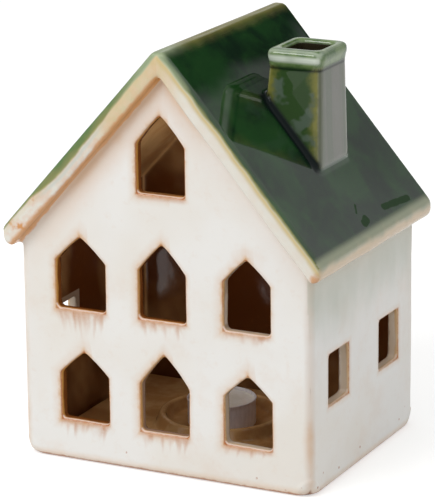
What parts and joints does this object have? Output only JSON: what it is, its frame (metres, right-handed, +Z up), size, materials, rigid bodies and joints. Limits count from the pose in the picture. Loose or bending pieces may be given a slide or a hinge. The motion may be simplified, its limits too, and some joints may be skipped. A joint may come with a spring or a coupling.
{
  "type": "tealight house",
  "caption": "Glazed ceramic house with a pitched roof, an open chimney and cut-out windows, lifting off a base plate with a raised ring for a tealight.",
  "frame": {"origin": "on the ground, under the middle of the walls", "axes": "+X to the right along the gable front, +Y from the front into the house, +Z up"},
  "size_m": [0.1892, 0.15, 0.2335],
  "materials": {
    "cream_glaze": "satin",
    "green_glaze": "gloss",
    "brown_glaze": "gloss",
    "cup_metal": "satin",
    "candle_wax": "satin",
    "wick_cotton": "matte",
    "sustainer_metal": "satin"
  },
  "bodies": {
    "base": {"base_plate": "brown_glaze", "tealight_ring": "brown_glaze"},
    "house": {"front_wall": "cream_glaze", "back_wall": "cream_glaze", "left_wall": "cream_glaze", "right_wall": "cream_glaze", "left_roof_slab": "green_glaze", "right_roof_slab": "green_glaze", "chimney_shaft": "green_glaze", "chimney_rim": "green_glaze"},
    "tealight": {"tealight_cup": "cup_metal", "tealight_wax": "candle_wax", "wick_sustainer": "sustainer_metal", "wick": "wick_cotton"}
  },
  "joints": [
    {"name": "house_lift", "type": "slide", "parent": "base", "child": "house", "axis": [0, 0, 1], "range_m": [0, 0.09]},
    {"name": "tealight_lift", "type": "slide", "parent": "base", "child": "tealight", "axis": [0, 0, 1], "range_m": [0, 0.03]}
  ]
}
